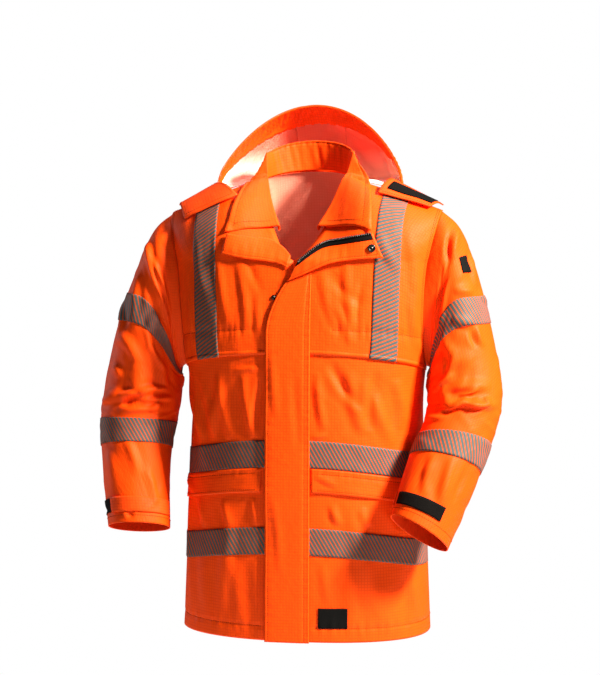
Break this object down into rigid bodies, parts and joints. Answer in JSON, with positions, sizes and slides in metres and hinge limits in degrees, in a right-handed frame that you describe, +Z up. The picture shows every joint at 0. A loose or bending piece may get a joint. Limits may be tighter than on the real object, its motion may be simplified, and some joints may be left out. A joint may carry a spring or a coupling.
{
  "type": "hooded hi-vis work jacket",
  "caption": "Hooded high-visibility work jacket, worn shape: hollow body and sleeves, turned-down collar, hood hanging back, storm flap and reflective tapes.",
  "frame": {"origin": "middle of the base of the wearer's neck, between the shoulder seams' neck ends", "axes": "+Z up along the worn jacket's height, -Y towards its front opening, +X towards the wearer's left sleeve"},
  "size_m": [0.779, 0.4062, 1.0013],
  "materials": {
    "ripstop_orange": "coated ripstop cloth with fine square ribs, satin",
    "hood_orange": "thin coated ripstop cloth, satin",
    "reflective_tape": "heat-applied silver reflective bars, slanted, with orange gaps",
    "hook_black": "matte woven hook strip",
    "zip_black": "woven tape with moulded teeth",
    "stud_black": "black enamelled press stud",
    "badge_black": "plain woven patch, bare"
  },
  "bodies": {
    "root": {"back_panel": "ripstop_orange", "front_left": "ripstop_orange", "front_right": "ripstop_orange", "pocket_flap_left": "ripstop_orange", "pocket_flap_right": "ripstop_orange", "yoke_left": "ripstop_orange", "yoke_right": "ripstop_orange", "storm_flap": "ripstop_orange", "lapel_left": "ripstop_orange", "lapel_right": "ripstop_orange", "collar": "ripstop_orange", "hood_band": "ripstop_orange", "sleeve_left": "ripstop_orange", "sleeve_right": "ripstop_orange", "cuff_tab_left": "ripstop_orange", "cuff_tab_right": "ripstop_orange", "hood_side_right": "hood_orange", "hood_centre": "hood_orange", "hood_side_left": "hood_orange", "hood_tab_left": "hood_orange", "hood_tab_right": "hood_orange", "waist_tape_back": "reflective_tape", "lower_tape_back": "reflective_tape", "waist_tape_left": "reflective_tape", "lower_tape_left": "reflective_tape", "waist_tape_right": "reflective_tape", "lower_tape_right": "reflective_tape", "brace_tape_front_left": "reflective_tape", "brace_tape_back_left": "reflective_tape", "brace_tape_front_right": "reflective_tape", "brace_tape_back_right": "reflective_tape", "sleeve_tape_upper_left": "reflective_tape", "sleeve_tape_fore_left": "reflective_tape", "sleeve_tape_upper_right": "reflective_tape", "sleeve_tape_fore_right": "reflective_tape", "hood_hook_left": "hook_black", "cuff_hook_left": "hook_black", "cuff_hook_right": "hook_black", "zip_tape_left": "zip_black", "stud_cap": "stud_black", "stud_post": "stud_black", "sleeve_badge_left": "badge_black", "hem_label": "badge_black"}
  },
  "joints": []
}
